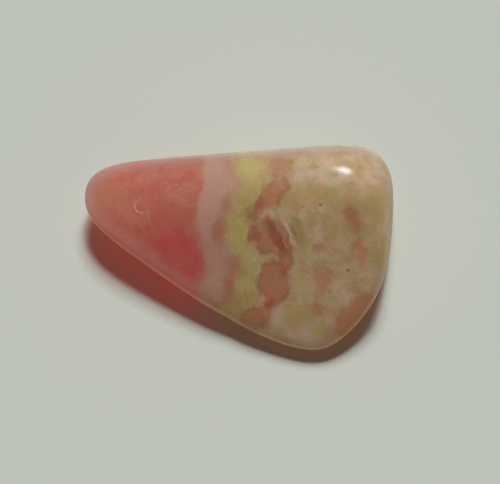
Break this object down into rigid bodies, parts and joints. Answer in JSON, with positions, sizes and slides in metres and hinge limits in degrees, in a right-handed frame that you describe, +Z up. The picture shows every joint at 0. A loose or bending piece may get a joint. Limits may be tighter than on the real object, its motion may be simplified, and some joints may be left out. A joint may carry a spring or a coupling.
{
  "type": "tumbled rhodochrosite stone",
  "caption": "Tumbled and polished three-cornered wedge of banded rhodochrosite, thin translucent red tip to broad cream end, lying on a small flat of its underside.",
  "frame": {"origin": "middle of the stone's bounding box, on the surface that it rests on", "axes": "+X along its length towards the broad cream end, +Y towards its thick back edge, +Z up"},
  "size_m": [0.0274, 0.0196, 0.0068],
  "materials": {
    "stone": "polished, waxy gloss, slightly translucent, banded salmon red, pinkish white, olive yellow and cream"
  },
  "bodies": {
    "root": {"rhodochrosite_stone": "stone"}
  },
  "joints": []
}
